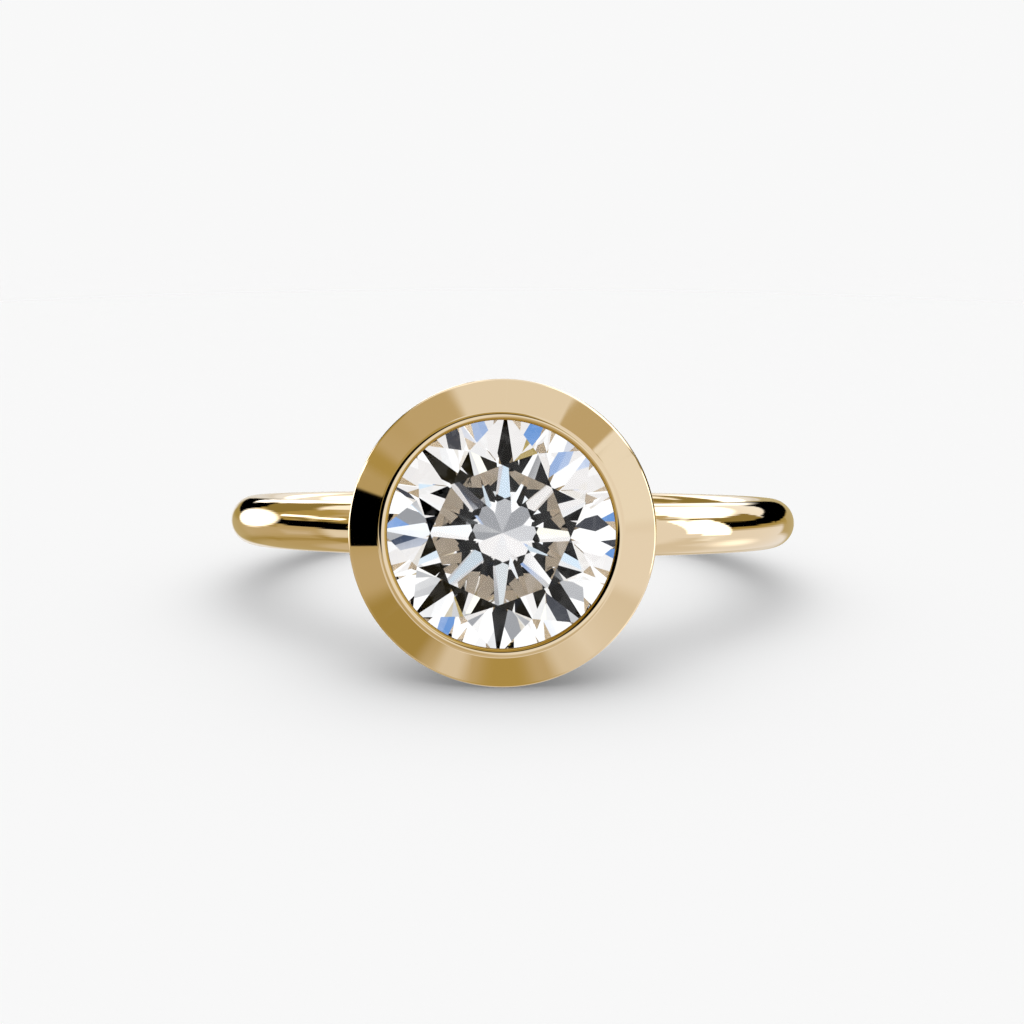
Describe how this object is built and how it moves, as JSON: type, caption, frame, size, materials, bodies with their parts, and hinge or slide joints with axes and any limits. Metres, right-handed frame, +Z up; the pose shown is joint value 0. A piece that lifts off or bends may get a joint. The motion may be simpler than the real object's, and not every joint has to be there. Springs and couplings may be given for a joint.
{
  "type": "bezel set ring",
  "caption": "Polished gold finger ring with a slim round band and a round brilliant-cut stone in a wide bevelled bezel, lying on its side.",
  "frame": {"origin": "centre of the finger hole, half way along the band's width", "axes": "+Z up from the surface the ring lies on, -Y the way the head faces, X across the band; the ring is stored at rest on its side, so the finger hole's axis leans 10.56 degrees from +Z towards +Y"},
  "size_m": [0.0196, 0.0232, 0.0093],
  "materials": {
    "gold": "polished",
    "stone": "polished"
  },
  "bodies": {
    "root": {"gold_ring": "gold", "round_stone": "stone"}
  },
  "joints": []
}
